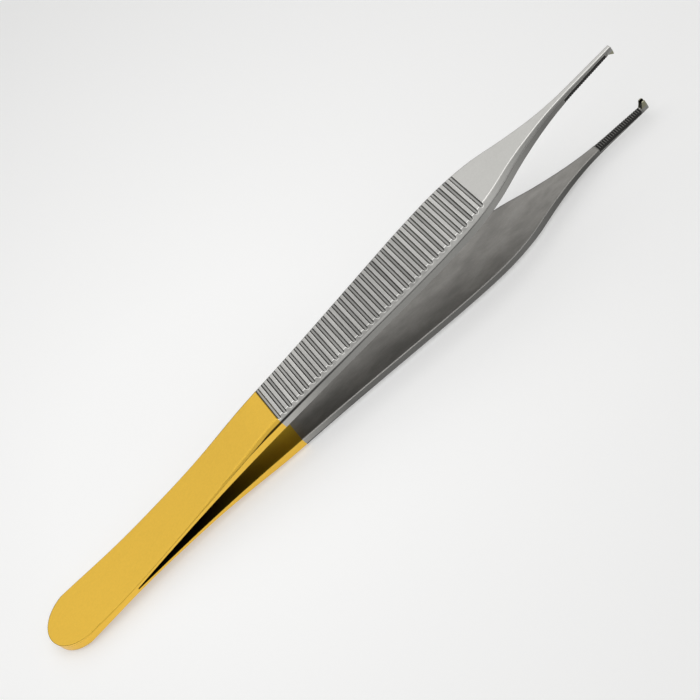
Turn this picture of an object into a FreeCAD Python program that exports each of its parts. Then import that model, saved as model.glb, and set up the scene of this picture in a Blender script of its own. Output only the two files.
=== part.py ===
import FreeCAD, Part
import os
from math import cos, radians, sin, sqrt, tan

# Thumb forceps: two sprung steel arms joined face to face at the rounded butt, each with a
# cross-ribbed finger grip, a slender tip with a hard jaw insert, and interlocking tip teeth.
# Both arms are laid out about the plane between them, with X from the butt to the tips. The
# whole is then turned so that the lower arm's grip lies flat on the ground. Millimetres.

# Side view of an arm: heights are from the middle plane, thicknesses from the inner face.
length = 120.0             # butt to tips
join_length = 13.4         # from the butt to where the inner faces would meet
weld_length = 15.4         # from the butt to where the arms part, at the end of the weld
half_opening = 3.6         # lean of each inner face from the middle plane, degrees
butt_thickness = 0.95
join_thickness = 0.7
neck_station = 25.0        # where the arm springs
neck_thickness = 0.62
swell_station = 38.0       # half way up the swell behind the grip
swell_thickness = 1.33
grip_thickness = 2.1
flat_length = 3.5          # plain flat ahead of the grip, in one plane with the crests
shank_length = 16.5        # slender front part
shank_thickness = 1.6
tip_thickness = 0.86

# Finger grip: round-bottomed grooves right across the outer face.
grip_start = 48.0          # from the butt
taper_length = 29.0        # from the last groove to the tips
groove_count = 36
groove_width = 0.66
groove_depth = 0.33

# Plan view of an arm: full widths.
butt_round = 5.9           # length of the rounded end
butt_width = 9.85
shoulder_station = 15.0
shoulder_width = 9.25
waist_station = 34.0
waist_width = 7.95
rear_grip_width = 8.4      # at the first groove
middle_grip_width = 10.1   # half way along the grip
widest_width = 11.0
widest_setback = 7.5       # of the widest place behind the last groove
tip_width = 0.88
tip_corner = 0.18
taper = [                  # shares of the way from the widest place to the tips, and of the width
    (0.15, 0.95),
    (0.23, 0.86),
    (0.31, 0.715),
    (0.39, 0.52),
    (0.48, 0.335),
    (0.56, 0.2),
    (0.64, 0.102),
    (0.73, 0.04),
    (0.85, 0.018),
]

# Bevel at 45 degrees along both outer edges.
edge_bevel = 0.12          # from the butt to the neck
swell_bevel = 0.32
rear_grip_bevel = 0.69
bevel_growth = 8.0         # stretch of the grip over which it reaches its full size
grip_bevel = 0.81
taper_bevel = 0.74         # where the plain flat ends
shank_bevel = 0.46
insert_bevel = 0.28        # where the insert begins
tip_bevel = 0.2

# Jaw inserts, let into the inner faces and cut with fine cross serrations.
insert_length = 8.65
insert_land = 0.1          # steel left between the insert and the teeth
insert_thickness = 0.62
serration_count = 22
serration_depth = 0.08
serration_land = 0.3       # part of each pitch left uncut

# Tip teeth: one on the upper arm, closing between two on the lower arm.
single_tooth_base = 0.9    # along the arm
single_tooth_height = 1.0
single_tooth_tip = 0.12
single_tooth_edge = 0.12   # across the arm, at the point
facet_rise = 0.8           # of the tooth's slanting sides up the end face
twin_teeth_base = 1.25
twin_teeth_height = 1.15
twin_teeth_tip = 0.78
tooth_hollow = 0.08        # of the twin teeth behind
notch_width = 0.46         # between the two teeth at their points
notch_root = 0.14          # between them at the root
notch_fall = 0.35          # of the notch's floor towards the end face
lower_end_round = 0.4      # the lower arm's outer front corner
upper_end_round = 0.15

grip_end = length - taper_length
middle_grip_station = (grip_start + grip_end) / 2
widest_station = grip_end - widest_setback
flat_end = grip_end + flat_length
shank_station = length - shank_length
insert_end = length - twin_teeth_base - insert_land
insert_start = insert_end - insert_length
lean = radians(half_opening)
margin = 2.0               # reach of a cutter past the faces that it doesn't shape


def point(x, z, y=0.0):
    return FreeCAD.Vector(x, y, z)


def inner(x):
    """Height of an arm's inner face above the middle plane."""
    return max(0.0, (x - join_length) * tan(lean))


def crest(x):
    """Height of the flat outer face along the grip and just ahead of it."""
    return (x - join_length) * tan(lean) + grip_thickness / cos(lean)


def on_arm(x, height, y=0.0):
    """Point at a height square to the inner face: outwards is positive."""
    return point(x - height * sin(lean), inner(x) + height * cos(lean), y)


def outer_points():
    """Knots of the outer face behind the grip, and ahead of its flat."""
    rear = [
        point(-margin, butt_thickness),
        point(0, butt_thickness),
        point(join_length, join_thickness),
        on_arm(neck_station, neck_thickness),
        on_arm(swell_station, swell_thickness),
        point(grip_start, crest(grip_start)),
    ]
    front = [
        point(flat_end, crest(flat_end)),
        on_arm(shank_station, shank_thickness),
        on_arm(length, tip_thickness),
    ]
    return rear, front


def smooth(points, start, end):
    """Smooth edge through the points, with its directions at both ends."""
    curve = Part.BSplineCurve()
    curve.interpolate(Points=points, InitialTangent=start, FinalTangent=end)
    return curve


def chain(points):
    return [Part.makeLine(a, b) for a, b in zip(points, points[1:])]


def arc(a, b, c):
    return Part.Arc(a, b, c).toShape()


def drawn(edges, way):
    """Solid made by drawing a closed flat outline along a direction."""
    return Part.Face(Part.Wire(edges)).extrude(way)


def across(edges):
    """Solid with the given outline in the side view, wide enough for the whole arm."""
    half = widest_width / 2 + margin
    solid = drawn(edges, FreeCAD.Vector(0, 2 * half, 0))
    solid.translate(FreeCAD.Vector(0, -half, 0))
    return solid


def outer_edges(end_point):
    """The outer face in the side view, from the butt to end_point at the tip."""
    rear, front = outer_points()
    edges = [smooth(rear, point(1, 0), point(1, tan(lean))).toShape()]
    pitch = (grip_end - grip_start - groove_width) / (groove_count - 1)
    for i in range(groove_count):
        a = grip_start + i * pitch
        b = a + groove_width
        middle = (a + b) / 2
        low = point(middle, (crest(a) + crest(b)) / 2 - groove_depth)
        edges.append(arc(point(a, crest(a)), low, point(b, crest(b))))
        land_end = a + pitch if i < groove_count - 1 else flat_end
        edges += chain([point(b, crest(b)), point(land_end, crest(land_end))])
    front[-1] = end_point
    tip_slope = (end_point.z - front[1].z) / (end_point.x - front[1].x)
    edges.append(smooth(front, point(1, tan(lean)), point(1, tip_slope)).toShape())
    return edges


def profile(tooth_edges, end_round):
    """Side view of an arm with its insert seat, teeth edges and rounded outer corner."""
    corner = on_arm(length, tip_thickness)
    before = on_arm(length - end_round, tip_thickness)
    after = on_arm(length, tip_thickness - end_round)
    bulge = end_round * (1 - sqrt(0.5))
    middle = on_arm(length - bulge, tip_thickness - bulge)
    edges = outer_edges(before)
    edges.append(arc(before, middle, after))
    edges += tooth_edges(after)
    edges += chain([
        edges[-1].Vertexes[-1].Point,
        on_arm(insert_end, 0),
        on_arm(insert_end, insert_thickness),
        on_arm(insert_start, insert_thickness),
        on_arm(insert_start, 0),
        point(weld_length, inner(weld_length)),
        point(weld_length, 0),
        point(-margin, 0),
        point(-margin, butt_thickness),
    ])
    return across(edges)


def single_tooth_edges(start):
    """The upper arm's pointed tooth, from the end face back to the inner face."""
    return chain([
        start,
        on_arm(length, -single_tooth_height + single_tooth_tip),
        on_arm(length - single_tooth_tip, -single_tooth_height),
        on_arm(length - single_tooth_base, 0),
    ])


def twin_teeth_edges(start):
    """The lower arm's twin teeth: a straight front, a rounded top, and a slight hollow behind."""
    top_front = on_arm(length, -twin_teeth_height + twin_teeth_tip / 3)
    top = on_arm(length - twin_teeth_tip / 3, -twin_teeth_height)
    top_rear = on_arm(length - twin_teeth_tip, -twin_teeth_height + twin_teeth_tip / 6)
    hollow = on_arm(length - (twin_teeth_base + twin_teeth_tip) / 2 + tooth_hollow, -twin_teeth_height / 2)
    root = on_arm(length - twin_teeth_base, 0)
    rounded = [arc(top_front, top, top_rear), arc(top_rear, hollow, root)]
    return chain([start, top_front]) + rounded


def side_curve():
    """One side of the arm in plan, from the rounded butt to the tip."""
    sizes = [
        (butt_round, butt_width),
        (shoulder_station, shoulder_width),
        (waist_station, waist_width),
        (grip_start, rear_grip_width),
        (middle_grip_station, middle_grip_width),
        (widest_station, widest_width),
    ]
    for way, share in taper:
        sizes.append((widest_station + way * (length - widest_station),
                      tip_width + share * (widest_width - tip_width)))
    sizes.append((length - tip_corner, tip_width))
    points = [FreeCAD.Vector(x, w / 2, 0) for x, w in sizes]
    slope = (points[-1].y - points[-2].y) / (points[-1].x - points[-2].x)
    return smooth(points, FreeCAD.Vector(1, 0, 0), FreeCAD.Vector(1, slope, 0))


def half_width(curve, x):
    """Half the arm's width at a station."""
    low, high = curve.FirstParameter, curve.LastParameter
    for _ in range(40):
        middle = (low + high) / 2
        if curve.value(middle).x < x:
            low = middle
        else:
            high = middle
    return curve.value(low).y


def plan(curve):
    """The arm's plan outline, standing high: rounded butt, curved sides, rounded tip."""
    side = curve.toShape()
    other = side.mirror(FreeCAD.Vector(), FreeCAD.Vector(0, 1, 0))
    half = butt_width / 2
    end = tip_width / 2
    if half > butt_round:
        raise ValueError("the rounded butt is shorter than half its width")
    oval = Part.Ellipse(FreeCAD.Vector(butt_round, 0, 0), butt_round, half)
    butt = Part.ArcOfEllipse(oval, radians(90), radians(270)).toShape()
    bulge = tip_corner * (1 - sqrt(0.5))
    edges = [butt, side, other]
    for s in (1, -1):
        edges.append(arc(FreeCAD.Vector(length - tip_corner, s * end, 0),
                         FreeCAD.Vector(length - bulge, s * (end - bulge), 0),
                         FreeCAD.Vector(length, s * (end - tip_corner), 0)))
    edges.append(Part.makeLine(FreeCAD.Vector(length, end - tip_corner, 0),
                               FreeCAD.Vector(length, tip_corner - end, 0)))
    outline = Part.Wire(Part.__sortEdges__(edges))
    solid = Part.Face(outline).extrude(FreeCAD.Vector(0, 0, 4 * widest_width))
    solid.translate(FreeCAD.Vector(0, 0, -widest_width))
    return solid


def bevel_at(x):
    """Size of the bevel at a station, straight between the named ones."""
    table = [
        (neck_station, edge_bevel),
        (swell_station, swell_bevel),
        (grip_start, rear_grip_bevel),
        (grip_start + bevel_growth, grip_bevel),
        (grip_end, grip_bevel),
        (flat_end, taper_bevel),
        (shank_station, shank_bevel),
        (insert_start, insert_bevel),
        (length, tip_bevel),
    ]
    for (xa, va), (xb, vb) in zip(table, table[1:]):
        if x <= xb:
            break
    share = min(1.0, max(0.0, (x - xa) / (xb - xa)))
    return va + (vb - va) * share


def outer_height(rear, front, x):
    """Height of the outer face at a station, from the curves that draw it."""
    if grip_start <= x <= flat_end:
        return crest(x)
    curve = rear if x < grip_start else front
    low, high = curve.FirstParameter, curve.LastParameter
    for _ in range(40):
        middle = (low + high) / 2
        if curve.value(middle).x < x:
            low = middle
        else:
            high = middle
    return curve.value(low).z


def spread(start, end, count):
    """Evenly spaced stations from start, with end left for what follows."""
    return [start + (end - start) * i / count for i in range(count)]


def roof(curve):
    """Cutter that bevels both outer edges: a long roof with 45 degree slopes."""
    knots_rear, knots_front = outer_points()
    rear = smooth(knots_rear, point(1, 0), point(1, tan(lean)))
    slope = (knots_front[2].z - knots_front[1].z) / (knots_front[2].x - knots_front[1].x)
    front = smooth(knots_front, point(1, tan(lean)), point(1, slope))
    overlap = margin / 4
    stations = spread(-overlap, grip_start, 11) + spread(grip_start, widest_station, 6)
    stations += spread(widest_station, length + overlap, 13) + [length + overlap]
    rings = []
    for x in stations:
        half = half_width(curve, x) if x > butt_round else butt_width / 2
        bevel = bevel_at(x)
        height = outer_height(rear, front, x)
        rise = min(margin / 8, 0.6 * (half - bevel))
        reach = 0.3 * margin
        ridge = half - bevel - rise
        eave = half + reach
        low = height - bevel - reach
        ring = [(-eave, -margin), (-eave, low), (-ridge, height + rise),
                (ridge, height + rise), (eave, low), (eave, -margin)]
        rings.append(Part.makePolygon([point(x, z, y) for y, z in ring + [ring[0]]]))
    return Part.makeLoft(rings, True, False)


def single_tooth_sides(curve):
    """What is cut from both sides of the single tooth: a slanting plane each, down to its point."""
    wide = half_width(curve, insert_end)
    climb = facet_rise / (length - insert_end)
    slant = (wide - single_tooth_edge / 2) / (facet_rise + single_tooth_height)
    over = margin / 10
    rear = insert_end - over
    front = length + over
    low = -single_tooth_height - over
    outline = [(rear, low), (front, low), (front, climb * (front - insert_end) + over), (rear, over)]
    cutters = []
    for s in (1, -1):
        corners = []
        for x, h in outline + outline[:1]:
            corners.append(on_arm(x, h, s * (wide - slant * (climb * (x - insert_end) - h))))
        cutters.append(drawn(chain(corners), FreeCAD.Vector(0, s * margin, 0)))
    return cutters


def notch():
    """What is cut between the lower arm's two teeth: a vee whose floor falls to the front."""
    flare = (notch_width - notch_root) / 2 / twin_teeth_height
    top = twin_teeth_height + margin / 4
    wide = notch_root / 2 + flare * top
    ring = [(-notch_root / 2, 0), (notch_root / 2, 0), (wide, -top), (-wide, -top)]
    corners = [on_arm(insert_end, h, y) for y, h in ring + ring[:1]]
    return drawn(chain(corners), 2 * (on_arm(length, notch_fall) - on_arm(insert_end, 0)))


def insert_profile():
    """Side view of a jaw insert with its serrations."""
    pitch = (insert_end - insert_start) / serration_count
    corners = [on_arm(insert_start, 0), on_arm(insert_start, insert_thickness),
               on_arm(insert_end, insert_thickness), on_arm(insert_end, 0)]
    for i in range(serration_count):
        x = insert_end - (i + 0.5) * pitch
        cut = pitch * (1 - serration_land) / 2
        corners += [on_arm(x + cut, 0), on_arm(x, serration_depth), on_arm(x - cut, 0)]
    return across(chain(corners + [corners[0]]))


def single_solid(shape):
    shape = shape.removeSplitter()
    if len(shape.Solids) != 1:
        raise ValueError("expected one solid")
    return shape.Solids[0]


def build():
    curve = side_curve()
    sides = plan(curve)
    bevelled = sides.common(roof(curve))
    upper = bevelled.common(profile(single_tooth_edges, upper_end_round))
    for cutter in single_tooth_sides(curve):
        upper = upper.cut(cutter)
    lower = bevelled.common(profile(twin_teeth_edges, lower_end_round)).cut(notch())
    insert = bevelled.common(insert_profile())
    level = FreeCAD.Vector(0, 0, 1)
    return {
        "upper_arm": single_solid(upper),
        "lower_arm": single_solid(lower).mirror(FreeCAD.Vector(), level),
        "upper_jaw_insert": single_solid(insert),
        "lower_jaw_insert": single_solid(insert).mirror(FreeCAD.Vector(), level),
    }


nodes = build()
for shape in nodes.values():
    shape.rotate(FreeCAD.Vector(), FreeCAD.Vector(0, 1, 0), -half_opening)
    shape.translate(FreeCAD.Vector(0, 0, grip_thickness - join_length * sin(lean)))
box = Part.Compound(list(nodes.values())).optimalBoundingBox(False, False)
os.makedirs("parts", exist_ok=True)
for name, shape in nodes.items():
    shape.translate(FreeCAD.Vector(-(box.XMin + box.XMax) / 2, 0, 0))
    shape.exportStep("parts/" + name + ".step")
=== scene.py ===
"""Finishes, stage and camera for a thumb forceps with gold-plated rear ends and ribbed finger grips."""

import math

import bmesh
import bpy
from bpy.props import FloatProperty, FloatVectorProperty, PointerProperty
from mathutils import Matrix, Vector


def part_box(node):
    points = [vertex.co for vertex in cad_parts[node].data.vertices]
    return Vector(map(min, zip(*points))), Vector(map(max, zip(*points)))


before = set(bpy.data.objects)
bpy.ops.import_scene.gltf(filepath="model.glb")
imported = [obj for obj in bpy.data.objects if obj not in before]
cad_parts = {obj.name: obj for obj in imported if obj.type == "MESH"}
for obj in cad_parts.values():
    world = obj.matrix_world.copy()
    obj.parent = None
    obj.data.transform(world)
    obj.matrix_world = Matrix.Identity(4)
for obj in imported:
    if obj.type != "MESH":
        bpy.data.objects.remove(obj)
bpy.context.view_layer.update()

bl_info = {
    "name": "Thumb Forceps",
    "version": (1, 0, 0),
    "blender": (4, 5, 0),
    "location": "View3D > Sidebar > Forceps",
    "description": "Dresses the arms and jaw inserts of a thumb forceps and sets its studio",
    "category": "Object",
}

MM = 0.001
JOIN_LENGTH = 13.4 * MM  # from the butt to where the inner faces would meet
HALF_OPENING = math.radians(3.6)
GROUND_FACE = 2.1 * MM  # height of the lower arm's inner face, which lies level
BUTT_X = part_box("lower_arm")[0].x + 0.06 * MM
APEX = Vector((BUTT_X + JOIN_LENGTH * math.cos(HALF_OPENING), 0, GROUND_FACE))
RIBBED_LENGTH = 43.0  # mm, from the plating's end to the front of the last groove
GROOVE_FLOOR = 1.6  # mm above the inner face, deeper than any groove
CONTACT_END = 2.0  # mm ahead of the apex, where the arms part
MARK_DEPTH = 0.02 * MM  # of the marks that grinding leaves
# Middle of the pool of light painted on the paper.
LIGHT_POOL_MIDDLE = (-0.022, 0.01, 0.0)  # place on the paper where its glow is fullest
CAMERA_PLACE = (0.0008, -0.1676, 0.18)  # metres
CAMERA_ANGLES = (35.64, 27.36, -33.14)  # degrees about X, Y and Z
SENSOR_WIDTH = 36  # mm
NEAREST_SEEN = 0.01  # metres from the camera


def linear(hex_colour):
    """Linear RGB of an sRGB hex colour."""
    values = [int(hex_colour[i : i + 2], 16) / 255 for i in (1, 3, 5)]
    return [v / 12.92 if v < 0.04045 else ((v + 0.055) / 1.055) ** 2.4 for v in values]


def add(tree, kind, *values, inputs=None, **settings):
    """Adds a node with its settings. Values go to its inputs in order or by name, and may be nodes."""
    node = tree.nodes.new("ShaderNode" + kind)
    for name, value in settings.items():
        setattr(node, name, value)
    for name, value in {**dict(enumerate(values)), **(inputs or {})}.items():
        if isinstance(value, bpy.types.Node):
            value = value.outputs[0]
        if isinstance(value, bpy.types.NodeSocket):
            tree.links.new(value, node.inputs[name])
        else:
            node.inputs[name].default_value = value
    return node


def shade(tree, mask, level):
    """Factor that is 1 where the mask is 0, and the level where it is 1."""
    change = add(tree, "Math", level, 1.0, operation="SUBTRACT")
    return add(tree, "Math", mask, change, 1.0, operation="MULTIPLY_ADD")


def new_material(name):
    """Empty node material with its output and a Principled shader."""
    material = bpy.data.materials.new(name)
    material.use_nodes = True
    tree = material.node_tree
    tree.nodes.clear()
    shader = add(tree, "BsdfPrincipled")
    add(tree, "OutputMaterial", inputs={"Surface": shader})
    return material, tree, shader


def give(material, *names):
    """Puts the material on CAD nodes."""
    for name in names:
        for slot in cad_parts[name].material_slots:
            slot.material = material


def colour(rgb, depth=1.0):
    """Colour for a socket, darkened by the depth."""
    return [*(v * depth for v in rgb), 1.0]


class ArmPlaces:
    """Where a point of an arm lies, in millimetres from the apex, and masks for the arm's parts."""

    def __init__(self, tree, face_tilt, outward, finish):
        place = add(tree, "TexCoord").outputs["Object"]
        scale = (MM, MM, MM)
        middle = add(tree, "Mapping", place, APEX, (0, -HALF_OPENING, 0), scale, vector_type="TEXTURE")
        self.along = add(tree, "Mapping", place, APEX, (0, face_tilt, 0), scale, vector_type="TEXTURE")
        from_middle = add(tree, "SeparateXYZ", middle)
        from_face = add(tree, "SeparateXYZ", self.along)
        self.x = from_middle.outputs["X"]
        self.off_middle = add(tree, "Math", from_middle.outputs["Z"], operation="ABSOLUTE")
        self.height = add(tree, "Math", from_face.outputs["Z"], outward, operation="MULTIPLY")
        self.off_centre = add(tree, "Math", from_face.outputs["Y"], operation="ABSOLUTE")
        self.lower = outward < 0
        # Stations: where the plating ends, where the ribs end, and the tip.
        self.end = (finish.plating_end - JOIN_LENGTH) / MM
        self.front = self.end + RIBBED_LENGTH
        self.tip = (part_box("lower_arm")[1].x - APEX.x) / MM
        self.plated = add(tree, "MapRange", self.x, self.end - 0.03, self.end + 0.03, 1.0, 0.0)
        self.steel = add(tree, "Math", 1.0, self.plated, operation="SUBTRACT")
        ribbed = add(tree, "MapRange", self.x, self.front, self.front + 0.2, 1.0, 0.0)
        ribbed = add(tree, "Math", ribbed, self.steel, operation="MULTIPLY")
        above_floor = add(tree, "MapRange", self.height, GROOVE_FLOOR, GROOVE_FLOOR + 0.05)
        self.ribbed = add(tree, "Math", ribbed, above_floor, operation="MULTIPLY")


def worn_normal(tree, arm, finish):
    """Normal with the arms' sharp edges rounded by handling, less so on the plating and the ribs.

    The upper arm's inner edges and the joint between the arms stay sharp.
    """
    x, end, front = arm.x, arm.end, arm.front
    rear = add(tree, "MapRange", x, end - 12, end - 8, 1.0, 0.0)
    fine = add(tree, "Math", arm.ribbed, rear, operation="MAXIMUM")
    radius = add(tree, "MapRange", fine, 0.0, 1.0, finish.edge_rounding, finish.fine_rounding)
    slender = add(tree, "MapRange", x, front, front + 4, 1.0, 0.75)
    off_joint = add(tree, "Math", add(tree, "MapRange", arm.off_middle, 0.2, 0.35),
                    add(tree, "MapRange", x, CONTACT_END - 0.1, CONTACT_END + 0.1), operation="MAXIMUM")
    inner_edge = add(tree, "MapRange", arm.plated, 0.0, 1.0, 1.0, 0.4) if arm.lower else 0.0
    off_inner = add(tree, "MapRange", arm.height, 0.2, 0.35)
    off_inner = add(tree, "Math", off_inner, inner_edge, operation="MAXIMUM")
    for factor in (slender, off_joint, off_inner):
        radius = add(tree, "Math", radius, factor, operation="MULTIPLY")
    return add(tree, "Bevel", radius, samples=16)


def arm_colour(tree, arm, blotches, inner, finish):
    """Steel, warmer and patchier on the inner faces and darker there as painted shade of the gap, and gold up
    to the plating's end.
    """
    outside = add(tree, "MixRGB", blotches, colour(finish.steel_colour), colour(finish.steel_colour, 0.93))
    inside = add(tree, "MixRGB", add(tree, "MapRange", blotches, 0.35, 0.65),
                 colour(finish.inner_colour), colour(finish.inner_colour, 0.74))
    steel = add(tree, "MixRGB", inner, outside, inside)
    bright = add(tree, "MixRGB", blotches, colour(finish.gold_colour), colour(finish.gold_colour, 0.96))
    gold = add(tree, "MixRGB", inner, bright, colour(finish.inner_gold_colour))
    return add(tree, "MixRGB", arm.plated, steel, gold)


def wall_tones(tree, arm, wall_level, sideways, upright):
    """Painted shade on the steel side walls, a thin painted dark reflection as a seam that parts them from
    the bevels, painted shade on the bevels ahead of the ribs and a painted highlight on the plated bevels.
    """
    x, end, front, tip = arm.x, arm.end, arm.front, arm.tip
    # Painted shade: the steel side walls are darker, and lighter again beside the shank and the teeth.
    wall = add(tree, "MapRange", upright, 0.25, 0.12)
    for mask in (sideways, arm.steel):
        wall = add(tree, "Math", wall, mask, operation="MULTIPLY")
    beside_teeth = add(tree, "MapRange", x, tip - 1.6, tip - 1.2, 0.0, 0.85)
    beside_shank = add(tree, "MapRange", x, front + 10, front + 20, 0.0, 0.55)
    front_level = add(tree, "Math", beside_teeth, beside_shank, operation="MAXIMUM")
    level = add(tree, "Math", add(tree, "MapRange", x, end, end + 9, wall_level + 0.4, wall_level),
                add(tree, "MapRange", x, front - 4, front + 6, 1.0, 1.25), operation="MULTIPLY")
    walls = shade(tree, wall, add(tree, "Math", front_level, level, operation="MAXIMUM"))

    # The seam is a painted dark reflection. It follows the bevel's lower edge, which lies lowest on the
    # plated part.
    edge_height = add(tree, "Math", add(tree, "MapRange", x, end - 9, end - 3, 1.1, 1.41),
                      add(tree, "MapRange", x, end, end + 12, 0.0, 0.12), operation="SUBTRACT")
    seam_width = add(tree, "Math", add(tree, "MapRange", x, end - 7, end - 2, 0.01, 0.22),
                     add(tree, "MapRange", x, end + 2, end + 20, 1.0, 0.5), operation="MULTIPLY")
    off_seam = add(tree, "Math", arm.height, edge_height, operation="SUBTRACT")
    off_seam = add(tree, "Math", off_seam, operation="ABSOLUTE")
    off_seam = add(tree, "Math", off_seam, seam_width, operation="DIVIDE")
    seam = add(tree, "MapRange", off_seam, 0.6, 1.0, 1.0, 0.0)
    behind_taper = add(tree, "MapRange", x, front - 4, front + 12, 1.0, 0.0)
    for mask in (behind_taper, sideways, arm.steel if arm.lower else 1.0):
        seam = add(tree, "Math", seam, mask, operation="MULTIPLY")
    seam_dark_reflection = shade(tree, seam, add(tree, "MapRange", x, end + 2, end + 24, 0.08, 0.35))

    # Painted shade darkens the bevels ahead of the ribs, and a painted highlight lightens the plated bevels.
    bevel = add(tree, "Math", sideways, add(tree, "MapRange", upright, 0.85, 0.75), operation="MULTIPLY")
    ahead = add(tree, "MapRange", x, front + 1, front + 14)
    front_bevel_shade = shade(tree, add(tree, "Math", bevel, ahead, operation="MULTIPLY"), 0.5)
    plated_bevel_highlight = shade(tree, add(tree, "Math", bevel, arm.plated, operation="MULTIPLY"), 1.2)
    return walls, seam_dark_reflection, front_bevel_shade, plated_bevel_highlight


def rib_tones(tree, arm, normal, steep, sideways, worn, crest):
    """Ribs a little darker than the rest, painted shade in the grooves and on their flanks, and painted
    highlights on the scallops in the bevel.
    """
    x, end = arm.x, arm.end
    # Painted shade deepens into the groove bottoms and onto the steep flanks.
    off_side = add(tree, "Math", 1.0, sideways, operation="SUBTRACT")
    grooves = shade(tree, add(tree, "Math", arm.ribbed, off_side, operation="MULTIPLY"),
                    add(tree, "MapRange", arm.height, crest - 0.03, crest - 0.07, 0.95, 0.68))
    flank = add(tree, "MapRange", steep, 0.35, 0.55)
    flanks = shade(tree, add(tree, "Math", arm.ribbed, flank, operation="MULTIPLY"),
                   add(tree, "MapRange", x, end + 4, end + 16, 0.33, 0.55))
    # Each rib has a tone of its own, and those at the grip's middle are the darkest.
    across = add(tree, "VectorMath", arm.along, (0.9, 0.06, 0.0), operation="MULTIPLY")
    uneven = add(tree, "TexNoise", inputs={"Vector": across, "Scale": 1.0, "Detail": 1.0})
    own_tone = shade(tree, arm.ribbed, add(tree, "MapRange", uneven, 0.35, 0.65, 0.86, 1.12))
    from_middle = add(tree, "Math", x, end + RIBBED_LENGTH / 2 + 0.5, operation="SUBTRACT")
    from_middle = add(tree, "Math", from_middle, operation="ABSOLUTE")
    middle_tone = shade(tree, arm.ribbed, add(tree, "MapRange", from_middle, 4.0, 16.0, 0.82, 1.0))
    # Painted highlights where the ribs' rounded ends run out into the bevel.
    off_level = add(tree, "Math", normal.outputs["Y"], operation="ABSOLUTE")
    scallop_highlight = add(tree, "MapRange", off_level, 0.1, 0.3)
    for mask in (arm.ribbed, worn):
        scallop_highlight = add(tree, "Math", scallop_highlight, mask, operation="MULTIPLY")
    return grooves, flanks, own_tone, middle_tone, shade(tree, scallop_highlight, 1.5)


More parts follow.
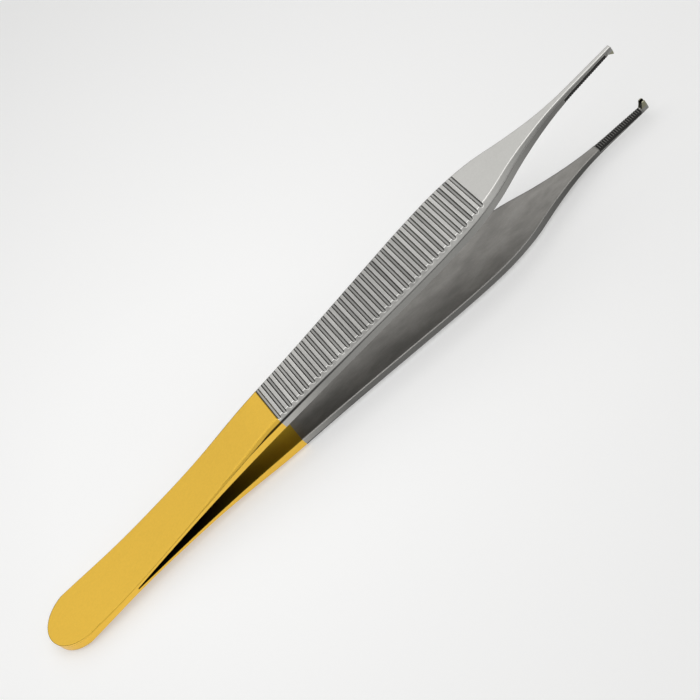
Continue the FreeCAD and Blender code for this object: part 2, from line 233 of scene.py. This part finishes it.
def gold_plated_satin_steel(name, face_tilt, outward, wall_level, finish):
    """Stainless spring steel, satin ground, with its rear part gold plated.

    The eye gets a soft sheen with no clear reflections: an even silver outside, painted shade on the side
    walls under a thin painted dark reflection as a seam, a blotchier grind on the inner faces under painted
    shade that deepens into the gap, painted shade in the grooves between the ribs, painted highlights on the
    worn edges, straw-tinted teeth with their backs in painted shade, and a clean-cut end to the warm
    plating. face_tilt turns the pattern to lie along this arm's inner face, and outward is the sign
    of Z away from the gap.
    """
    material, tree, shader = new_material(name)
    arm = ArmPlaces(tree, face_tilt, outward, finish)
    x, end, front = arm.x, arm.end, arm.front

    rounded = worn_normal(tree, arm, finish)
    facing = add(tree, "NewGeometry").outputs["Normal"]
    apart = add(tree, "VectorMath", rounded, facing, operation="DOT_PRODUCT").outputs["Value"]
    worn = add(tree, "MapRange", apart, 1.0, 0.9)
    normal = add(tree, "SeparateXYZ", rounded)
    sideways = add(tree, "Math", normal.outputs["Y"], operation="ABSOLUTE")
    sideways = add(tree, "MapRange", sideways, 0.45, 0.65)
    upright = add(tree, "Math", normal.outputs["Z"], operation="ABSOLUTE")
    steep = add(tree, "SeparateXYZ", facing).outputs["X"]
    steep = add(tree, "Math", steep, operation="ABSOLUTE")

    # Grinding marks run along the arm. Real ones are some 0.03 mm wide, drawn here 0.12 mm wide.
    drawn_out = add(tree, "VectorMath", arm.along, (0.5, 8, 8), operation="MULTIPLY")
    marks = add(tree, "TexNoise", inputs={"Vector": drawn_out, "Scale": 1.0, "Detail": 3.0, "Roughness": 0.6})
    grain = add(tree, "TexNoise", inputs={"Vector": arm.along, "Scale": 1 / finish.grain_size * MM,
                                          "Detail": 2.0, "Roughness": 0.6})
    # Blotches left by the wheel, 4 to 8 mm long.
    patch = add(tree, "VectorMath", arm.along, (0.16, 0.4, 0.4), operation="MULTIPLY")
    blotches = add(tree, "TexNoise", inputs={"Vector": patch, "Scale": 1.0, "Detail": 4.0, "Roughness": 0.62})

    off_face = add(tree, "Math", arm.height, operation="ABSOLUTE")
    inner = add(tree, "Math", add(tree, "MapRange", off_face, 0.02, 0.05, 1.0, 0.0),
                add(tree, "MapRange", upright, 0.4, 0.7), operation="MULTIPLY")
    base = arm_colour(tree, arm, blotches, inner, finish)
    # Painted shade on the inner faces: darkest near the apex, deep in the gap, and a little lighter towards
    # its front.
    depth = add(tree, "Math", add(tree, "MapRange", x, 14.0, 33.0, 0.12, 1.0),
                add(tree, "MapRange", x, end + 12, front - 6, 1.0, 1.16), operation="MULTIPLY")
    inner_shade = shade(tree, inner, depth)

    # Only the teeth reach past the inner face. Their backs and the notch between them get painted shade,
    # nearly black.
    beyond = add(tree, "MapRange", arm.height, -0.05, -0.15)
    hidden = add(tree, "MapRange", normal.outputs["X"], -0.3, -0.5)
    if arm.lower:
        between = add(tree, "MapRange", arm.off_centre, 0.34, 0.28)
        hidden = add(tree, "Math", hidden, between, operation="MAXIMUM")
    teeth = shade(tree, add(tree, "Math", beyond, hidden, operation="MULTIPLY"), 0.08)
    straw = add(tree, "Math", beyond, arm.steel, operation="MULTIPLY")
    base = add(tree, "MixRGB", straw, base, colour(finish.teeth_colour))

    # Worn, rounded edges get a painted highlight on the steel and painted shade on the plating. The lower
    # arm's inner edge highlights fade towards the end of the grip and come back on the shank.
    low_edge_highlight = add(tree, "Math", add(tree, "MapRange", x, end + 22, front - 8, 0.4, -0.1),
                   add(tree, "MapRange", x, front + 2, front + 14, 0.0, 0.9), operation="ADD")
    edge = add(tree, "Math", worn, add(tree, "MapRange", arm.height, 0.3, 0.6, low_edge_highlight, 1.0),
               operation="MULTIPLY")
    edges = shade(tree, edge, add(tree, "MapRange", arm.plated, 0.0, 1.0, 1.7, 0.7))

    walls = wall_tones(tree, arm, wall_level, sideways, upright)
    ribs = rib_tones(tree, arm, normal, steep, sideways, worn, finish.crest_height / MM)
    tone = add(tree, "MapRange", grain, 0.3, 0.7, 0.975, 1.025)
    for factor in (*walls, *ribs, teeth, inner_shade, edges):
        tone = add(tree, "Math", tone, factor, operation="MULTIPLY")
    tinted = add(tree, "VectorMath", base, inputs={"Scale": tone}, operation="SCALE")
    tree.links.new(tinted.outputs[0], shader.inputs["Base Color"])

    dull = add(tree, "MapRange", marks, 0.3, 0.7, 0.3, 0.4)
    duller = add(tree, "Math", inner, 0.08, dull, operation="MULTIPLY_ADD")
    polished = add(tree, "Math", worn, -0.1, duller, operation="MULTIPLY_ADD")
    tree.links.new(polished.outputs[0], shader.inputs["Roughness"])
    relief = add(tree, "Bump", inputs={"Height": marks, "Normal": rounded, "Strength": 0.12,
                                       "Distance": MARK_DEPTH})
    tree.links.new(relief.outputs[0], shader.inputs["Normal"])
    shader.inputs["Metallic"].default_value = 1.0
    return material


def ground_hard_metal(name, finish):
    """Sintered hard metal, ground and cross cut: dark grey, with thin painted highlights on its level crests
    and painted shade on its flanks.
    """
    material, tree, shader = new_material(name)
    place = add(tree, "TexCoord").outputs["Object"]
    in_mm = add(tree, "Mapping", place, inputs={"Scale": (1 / MM, 1 / MM, 1 / MM)})
    grit = add(tree, "TexNoise", inputs={"Vector": in_mm, "Scale": 1 / finish.grit_size * MM,
                                         "Detail": 3.0, "Roughness": 0.65})
    # Painted light: faces that lie level are lightened as highlights, and the rest darkened as shade.
    facing = add(tree, "SeparateXYZ", add(tree, "NewGeometry").outputs["Normal"])
    level = add(tree, "Math", facing.outputs["Z"], operation="ABSOLUTE")
    crests = add(tree, "MapRange", level, 0.93, 0.97, 0.42, 1.95)
    tone = add(tree, "Math", crests, add(tree, "MapRange", grit, 0.3, 0.7, 0.75, 1.15), operation="MULTIPLY")
    tinted = add(tree, "VectorMath", finish.metal_colour, inputs={"Scale": tone}, operation="SCALE")
    tree.links.new(tinted.outputs[0], shader.inputs["Base Color"])
    dull = add(tree, "MapRange", grit, 0.3, 0.7, 0.32, 0.46)
    tree.links.new(dull.outputs[0], shader.inputs["Roughness"])
    rounded = add(tree, "Bevel", finish.edge_rounding, samples=8)
    relief = add(tree, "Bump", inputs={"Height": grit, "Normal": rounded, "Strength": 0.25,
                                       "Distance": MARK_DEPTH})
    tree.links.new(relief.outputs[0], shader.inputs["Normal"])
    shader.inputs["Metallic"].default_value = 1.0
    return material


def matt_paper(name, studio):
    """Matt white background paper: no gloss, and the faintest fibre cloud."""
    material, tree, shader = new_material(name)
    place = add(tree, "TexCoord").outputs["Object"]
    cloud = add(tree, "TexNoise", inputs={"Vector": place, "Scale": 9.0, "Detail": 2.0})
    tone = add(tree, "MapRange", cloud, 0.3, 0.7, 0.995, 1.005)
    tinted = add(tree, "VectorMath", studio.floor_colour, inputs={"Scale": tone}, operation="SCALE")
    tree.links.new(tinted.outputs[0], shader.inputs["Base Color"])
    shader.inputs["Roughness"].default_value = 0.9
    shader.inputs["Specular IOR Level"].default_value = 0.1
    # The glow shows to the eye and in the metal, and fades away from the forceps as a painted pool of light.
    ray = add(tree, "LightPath")
    seen = ray.outputs["Is Camera Ray"]
    for other in ("Is Glossy Ray", "Is Transmission Ray"):
        seen = add(tree, "Math", seen, ray.outputs[other], operation="MAXIMUM")
    apart = add(tree, "VectorMath", place, LIGHT_POOL_MIDDLE, operation="DISTANCE").outputs["Value"]
    light_pool = add(tree, "MapRange", apart, 0.03, 0.14, 1.0, 0.6)
    glow = add(tree, "Math", seen, studio.paper_glow, operation="MULTIPLY")
    glow = add(tree, "Math", glow, light_pool, operation="MULTIPLY")
    tree.links.new(glow.outputs[0], shader.inputs["Emission Strength"])
    shader.inputs["Emission Color"].default_value = (1, 1, 1, 1)
    return material


class ArmFinish(bpy.types.PropertyGroup):
    """Colours and sizes of the arms' finish"""

    steel_colour: FloatVectorProperty(
        name="Steel", description="Satin steel outside the arms",
        default=linear("#c9c8c4"), size=3, min=0, max=1, subtype="COLOR")
    # The inner colours are darker than the outer ones as painted shade of the gap between the arms.
    inner_colour: FloatVectorProperty(
        name="Inner steel", description="Steel of the inner faces, ground duller and warmer",
        default=linear("#8f8d89"), size=3, min=0, max=1, subtype="COLOR")
    teeth_colour: FloatVectorProperty(
        name="Teeth", description="Steel of the teeth, with a faint straw tint",
        default=linear("#c3c1a6"), size=3, min=0, max=1, subtype="COLOR")
    gold_colour: FloatVectorProperty(
        name="Gold plating", description="Plating of the rear part",
        default=linear("#e7bc4a"), size=3, min=0, max=1, subtype="COLOR")
    # Darker than the outer gold as painted shade of the gap.
    inner_gold_colour: FloatVectorProperty(
        name="Inner gold plating", description="Plating of the inner faces, thin and dull",
        default=linear("#b0962f"), size=3, min=0, max=1, subtype="COLOR")
    plating_end: FloatProperty(
        name="Plating length", description="From the butt to where the plating ends, at the first groove",
        default=48 * MM, min=0, unit="LENGTH", subtype="DISTANCE")
    edge_rounding: FloatProperty(
        name="Edge rounding", description="Radius to which handling has worn the sharp edges",
        default=0.35 * MM, min=0, unit="LENGTH", subtype="DISTANCE")
    fine_rounding: FloatProperty(
        name="Fine rounding", description="The same, on the plated part and the finger ribs",
        default=0.18 * MM, min=0, unit="LENGTH", subtype="DISTANCE")
    crest_height: FloatProperty(
        name="Crest height", description="From the inner face to the crests of the finger ribs",
        default=2.1 * MM, min=0, unit="LENGTH", subtype="DISTANCE")
    # The side-wall levels set how dark the painted shade on each arm's steel side walls is.
    lower_wall_level: FloatProperty(
        name="Lower side walls", description="Brightness of the lower arm's side walls beside its faces",
        default=0.3, min=0, max=1, subtype="FACTOR")
    upper_wall_level: FloatProperty(
        name="Upper side walls", description="Brightness of the upper arm's side walls beside its faces",
        default=0.5, min=0, max=1, subtype="FACTOR")
    grain_size: FloatProperty(
        name="Grain size", description="Size of the satin finish's speckle",
        default=0.35 * MM, min=0.01 * MM, unit="LENGTH", subtype="DISTANCE")


class InsertFinish(bpy.types.PropertyGroup):
    """Colour and sizes of the inserts' finish"""

    metal_colour: FloatVectorProperty(
        name="Hard metal", description="Colour of the ground hard metal",
        default=linear("#535250"), size=3, min=0, max=1, subtype="COLOR")
    edge_rounding: FloatProperty(
        name="Edge rounding", description="Radius of the serrations' crests",
        default=0.03 * MM, min=0, unit="LENGTH", subtype="DISTANCE")
    grit_size: FloatProperty(
        name="Grit size", description="Size of the marks that the grinding left",
        default=0.2 * MM, min=0.01 * MM, unit="LENGTH", subtype="DISTANCE")


class Studio(bpy.types.PropertyGroup):
    """Paper, lamps and lens"""

    floor_colour: FloatVectorProperty(
        name="Paper", description="Colour of the background paper",
        default=linear("#cfcfce"), size=3, min=0, max=1, subtype="COLOR")
    floor_size: FloatProperty(
        name="Paper size", description="Width of the square of paper",
        default=8.0, min=0.5, unit="LENGTH", subtype="DISTANCE")
    surround: FloatProperty(
        name="Surround", description="Brightness of the room beyond the lamps", default=0.12, min=0)
    back_light: FloatProperty(
        name="Back light", description="Power of the soft light behind the forceps",
        default=4.0, min=0, unit="POWER")
    top_light: FloatProperty(
        name="Top light", description="Power of the soft light overhead",
        default=9.0, min=0, unit="POWER")
    front_light: FloatProperty(
        name="Front light", description="Power of the weak light behind the camera",
        default=2.4, min=0, unit="POWER")
    paper_glow: FloatProperty(
        name="Paper glow", description="Brightness that lifts the paper towards white", default=0.4, min=0)
    lens: FloatProperty(
        name="Lens", description="Focal length of the camera",
        default=83.71 * MM, min=10 * MM, unit="LENGTH", subtype="DISTANCE")


class FORCEPS_OT_dress_arms(bpy.types.Operator):
    """Gives both arms their satin steel and gold plating"""

    bl_idname = "forceps.dress_arms"
    bl_label = "Dress the arms"

    def execute(self, context):
        finish = context.scene.forceps_arms
        lower = gold_plated_satin_steel("plated_steel_lower", 0.0, -1.0, finish.lower_wall_level, finish)
        give(lower, "lower_arm")
        tilt = -2 * HALF_OPENING
        upper = gold_plated_satin_steel("plated_steel_upper", tilt, 1.0, finish.upper_wall_level, finish)
        give(upper, "upper_arm")
        return {"FINISHED"}


class FORCEPS_OT_dress_inserts(bpy.types.Operator):
    """Gives both jaw inserts their dark ground metal"""

    bl_idname = "forceps.dress_inserts"
    bl_label = "Dress the jaw inserts"

    def execute(self, context):
        material = ground_hard_metal("ground_hard_metal", context.scene.forceps_inserts)
        give(material, "upper_jaw_insert", "lower_jaw_insert")
        return {"FINISHED"}


class FORCEPS_OT_set_stage(bpy.types.Operator):
    """Lays the paper, hangs the lamps and places the camera"""

    bl_idname = "forceps.set_stage"
    bl_label = "Set the stage"

    def execute(self, context):
        scene = context.scene
        studio = scene.forceps_studio
        scene.view_settings.view_transform = "Standard"

        shape = bmesh.new()
        bmesh.ops.create_grid(shape, x_segments=1, y_segments=1, size=studio.floor_size / 2)
        mesh = bpy.data.meshes.new("paper_floor")
        shape.to_mesh(mesh)
        shape.free()
        mesh.materials.append(matt_paper("matt_paper", studio))
        floor = bpy.data.objects.new("paper_floor", mesh)
        scene.collection.objects.link(floor)

        world = bpy.data.worlds.new("studio_room")
        world.use_nodes = True
        room = world.node_tree.nodes["Background"]
        room.inputs["Color"].default_value = (1, 1, 1, 1)
        room.inputs["Strength"].default_value = studio.surround
        scene.world = world

        self.hang(scene, "back_light", (-0.15, 0.69, 0.70), 2.0, 0.7, studio.back_light)
        self.hang(scene, "front_light", (0.2, -0.72, 0.66), 2.0, 0.8, studio.front_light)
        self.hang(scene, "top_light", (0.0, -0.1, 1.1), 2.0, 1.2, studio.top_light)

        lens = bpy.data.cameras.new("camera")
        lens.lens = studio.lens / MM
        lens.sensor_width = SENSOR_WIDTH
        lens.clip_start = NEAREST_SEEN
        camera = bpy.data.objects.new("camera", lens)
        camera.location = CAMERA_PLACE
        camera.rotation_euler = [math.radians(angle) for angle in CAMERA_ANGLES]
        scene.collection.objects.link(camera)
        scene.camera = camera
        return {"FINISHED"}

    def hang(self, scene, name, place, width, depth, power):
        """Hangs a soft rectangular lamp that faces the forceps."""
        lamp = bpy.data.lights.new(name, "AREA")
        lamp.shape = "RECTANGLE"
        lamp.size = width
        lamp.size_y = depth
        lamp.energy = power
        light = bpy.data.objects.new(name, lamp)
        light.location = place
        light.rotation_euler = Vector(place).to_track_quat("Z", "Y").to_euler()
        scene.collection.objects.link(light)


class FORCEPS_PT_panel(bpy.types.Panel):
    """Lists each group of settings over the operator that uses it"""

    bl_label = "Thumb forceps"
    bl_idname = "FORCEPS_PT_panel"
    bl_space_type = "VIEW_3D"
    bl_region_type = "UI"
    bl_category = "Forceps"

    def draw(self, context):
        for group, operator in SECTIONS:
            box = self.layout.box()
            settings = getattr(context.scene, group)
            for name in settings.__annotations__:
                box.prop(settings, name)
            box.operator(operator)


SECTIONS = (
    ("forceps_arms", "forceps.dress_arms"),
    ("forceps_inserts", "forceps.dress_inserts"),
    ("forceps_studio", "forceps.set_stage"),
)
CLASSES = (ArmFinish, InsertFinish, Studio, FORCEPS_OT_dress_arms, FORCEPS_OT_dress_inserts,
           FORCEPS_OT_set_stage, FORCEPS_PT_panel)


def register():
    for c in CLASSES:
        bpy.utils.register_class(c)
    bpy.types.Scene.forceps_arms = PointerProperty(type=ArmFinish)
    bpy.types.Scene.forceps_inserts = PointerProperty(type=InsertFinish)
    bpy.types.Scene.forceps_studio = PointerProperty(type=Studio)


def unregister():
    del bpy.types.Scene.forceps_studio
    del bpy.types.Scene.forceps_inserts
    del bpy.types.Scene.forceps_arms
    for c in reversed(CLASSES):
        bpy.utils.unregister_class(c)


def main():
    """Builds the whole scene."""
    register()
    bpy.ops.forceps.dress_arms()
    bpy.ops.forceps.dress_inserts()
    bpy.ops.forceps.set_stage()


if __name__ == "__main__":
    main()
